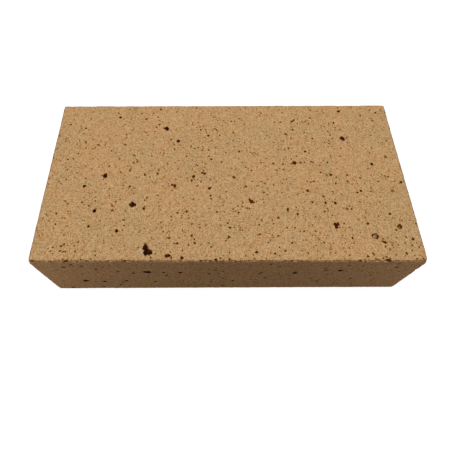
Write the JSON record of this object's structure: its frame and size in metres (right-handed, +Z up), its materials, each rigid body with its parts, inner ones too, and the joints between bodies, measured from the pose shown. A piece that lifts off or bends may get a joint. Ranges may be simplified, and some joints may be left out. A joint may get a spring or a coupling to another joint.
{
  "type": "refractory firebrick",
  "caption": "Rectangular dense fireclay firebrick with flat beds, softly worn edges, burst iron spots and small chips, for lining kilns, ovens and hearths.",
  "frame": {"origin": "middle of the bottom bed", "axes": "+X along the length, +Y from the front stretcher face to the back one, +Z up through the thickness"},
  "size_m": [0.25, 0.124, 0.064],
  "materials": {
    "fireclay": "matte fired fireclay, sandy yellowish tan with dark iron specks"
  },
  "bodies": {
    "root": {"firebrick": "fireclay"}
  },
  "joints": []
}
